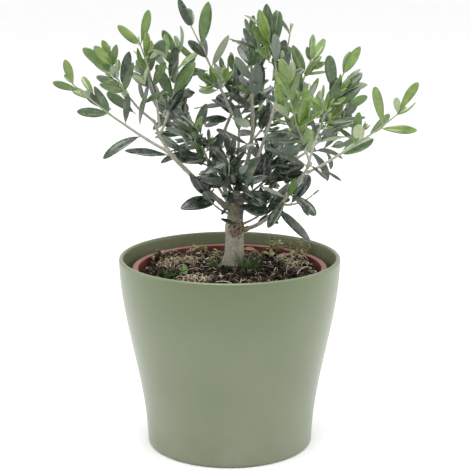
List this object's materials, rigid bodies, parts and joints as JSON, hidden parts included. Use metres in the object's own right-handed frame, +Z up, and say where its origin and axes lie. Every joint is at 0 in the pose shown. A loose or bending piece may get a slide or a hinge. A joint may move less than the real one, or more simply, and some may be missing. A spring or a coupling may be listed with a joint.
{
  "type": "potted olive bonsai",
  "caption": "Young olive grown as a bonsai: leaning trunk, forked boughs and open sprays of narrow leaves, in a nursery pot inside a tapered round planter.",
  "frame": {"origin": "centre of the planter's flat underside", "axes": "+Z up, -Y towards the front of the plant, +X to its right seen from the front"},
  "size_m": [0.2281, 0.1552, 0.2901],
  "materials": {
    "planter": "sage green, fine satin",
    "nursery_pot": "terracotta brown, worn matt",
    "soil": "dark moist potting compost",
    "bark": "smooth grey-beige bark with fine wrinkles",
    "foliage": "leathery evergreen leaves, paler below"
  },
  "bodies": {
    "root": {"crown_right_spray": "foliage", "crown_spray": "foliage", "far_left_spray": "foliage", "far_right_spray": "foliage", "front_right_spray": "foliage", "inner_front_spray": "foliage", "inner_left_bough": "bark", "inner_left_spray": "foliage", "inner_right_spray": "foliage", "knot_spray": "foliage", "leader_bough": "bark", "leader_spray": "foliage", "left_bough": "bark", "left_inner_spray": "foliage", "left_spray": "foliage", "left_tall_spray": "foliage", "low_left_spray": "foliage", "low_right_bough": "bark", "low_right_spray": "foliage", "mid_left_spray": "foliage", "nursery_pot": "nursery_pot", "planter": "planter", "rear_bough": "bark", "rear_left_spray": "foliage", "rear_right_bough": "bark", "rear_right_spray": "foliage", "rear_spray": "foliage", "right_fork_bough": "bark", "right_rear_spray": "foliage", "right_top_spray": "foliage", "right_upper_spray": "foliage", "soil": "soil", "top_left_bough": "bark", "top_left_spray": "foliage", "trunk": "bark", "up_right_bough": "bark", "upper_left_bough": "bark"}
  },
  "joints": []
}
